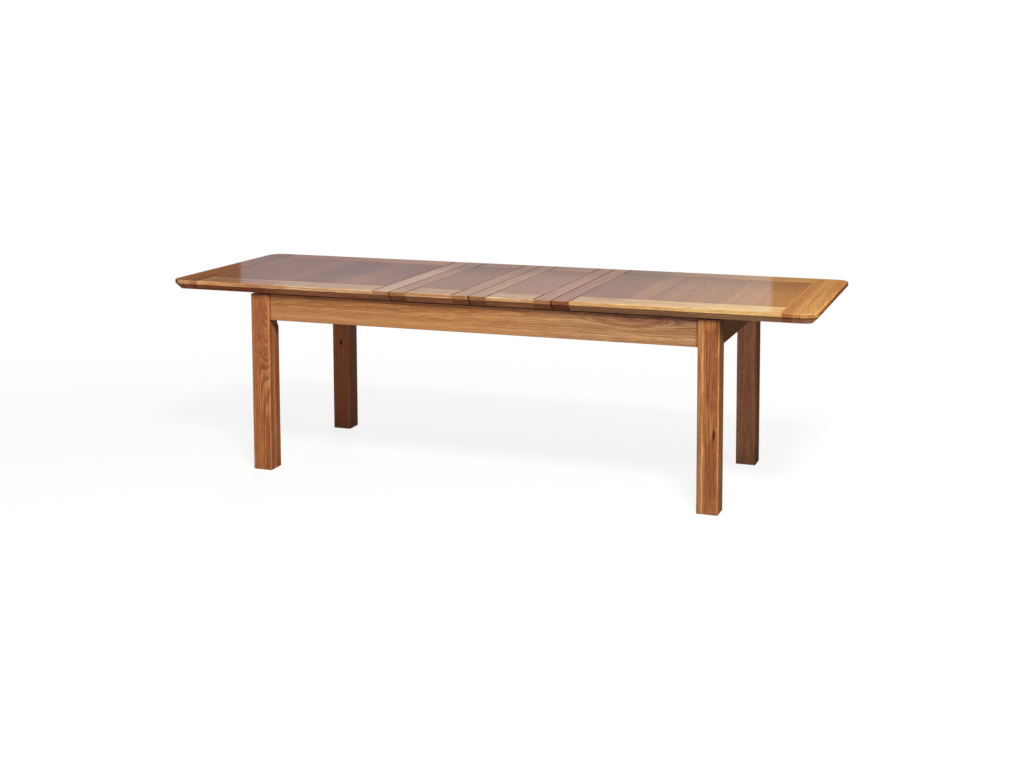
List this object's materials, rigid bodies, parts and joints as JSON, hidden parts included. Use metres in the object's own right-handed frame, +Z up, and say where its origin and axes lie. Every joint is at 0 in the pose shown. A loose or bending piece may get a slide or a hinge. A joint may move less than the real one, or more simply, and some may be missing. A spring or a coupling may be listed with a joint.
{
  "type": "extension dining table",
  "caption": "Long rectangular oak dining table, extended: a split framed top with drop-in middle leaves on a plain leg frame with aprons.",
  "frame": {"origin": "on the floor under the middle of the table", "axes": "+X along the table's length, towards the right half; +Y across the table, away from the front; +Z up"},
  "size_m": [2.646, 0.88, 0.775],
  "materials": {
    "oak": "satin lacquer",
    "plain_hardwood": "planed, thin oil",
    "beech": "bare",
    "zinc_steel": "zinc plated",
    "glide_plastic": "matte",
    "felt": "felt"
  },
  "bodies": {
    "frame": {"apron_back": "oak", "apron_front": "oak", "apron_left": "oak", "apron_right": "oak", "block_screws": "zinc_steel", "corner_block_back_left": "plain_hardwood", "corner_block_back_right": "plain_hardwood", "corner_block_front_left": "plain_hardwood", "corner_block_front_right": "plain_hardwood", "floor_pads": "felt", "glide_strips": "glide_plastic", "guide_rail_back": "plain_hardwood", "guide_rail_front": "plain_hardwood", "hanger_bolts": "zinc_steel", "hanger_nuts": "zinc_steel", "hanger_washers": "zinc_steel", "leg_back_left": "oak", "leg_back_right": "oak", "leg_front_left": "oak", "leg_front_right": "oak", "rail_screws": "zinc_steel", "stop_blocks": "plain_hardwood", "stretcher_centre": "plain_hardwood", "stretcher_left": "plain_hardwood", "stretcher_right": "plain_hardwood", "stretcher_screws": "zinc_steel"},
    "left_top": {"left_top_back_rail": "oak", "left_top_back_runner": "plain_hardwood", "left_top_battens": "plain_hardwood", "left_top_cross_rail": "oak", "left_top_dowels": "beech", "left_top_end_board": "oak", "left_top_front_rail": "oak", "left_top_front_runner": "plain_hardwood", "left_top_panel": "oak", "left_top_runner_screws": "zinc_steel"},
    "right_top": {"right_top_back_rail": "oak", "right_top_back_runner": "plain_hardwood", "right_top_battens": "plain_hardwood", "right_top_cross_rail": "oak", "right_top_dowels": "beech", "right_top_end_board": "oak", "right_top_front_rail": "oak", "right_top_front_runner": "plain_hardwood", "right_top_panel": "oak", "right_top_runner_screws": "zinc_steel"},
    "leaf_left": {"leaf_left_back_rail": "oak", "leaf_left_batten": "plain_hardwood", "leaf_left_dowels": "beech", "leaf_left_front_rail": "oak", "leaf_left_inner_rail": "oak", "leaf_left_outer_rail": "oak", "leaf_left_panel": "oak"},
    "leaf_right": {"leaf_right_back_rail": "oak", "leaf_right_batten": "plain_hardwood", "leaf_right_dowels": "beech", "leaf_right_front_rail": "oak", "leaf_right_inner_rail": "oak", "leaf_right_outer_rail": "oak", "leaf_right_panel": "oak"}
  },
  "joints": [
    {"name": "left_top_slide", "type": "slide", "parent": "frame", "child": "left_top", "axis": [-1, 0, 0], "range_m": [0, 0.03]},
    {"name": "right_top_slide", "type": "slide", "parent": "frame", "child": "right_top", "axis": [1, 0, 0], "range_m": [0, 0.03]},
    {"name": "leaf_left_lift", "type": "slide", "parent": "frame", "child": "leaf_left", "axis": [0, 0, 1], "range_m": [0, 0.25]},
    {"name": "leaf_right_lift", "type": "slide", "parent": "frame", "child": "leaf_right", "axis": [0, 0, 1], "range_m": [0, 0.25]}
  ]
}
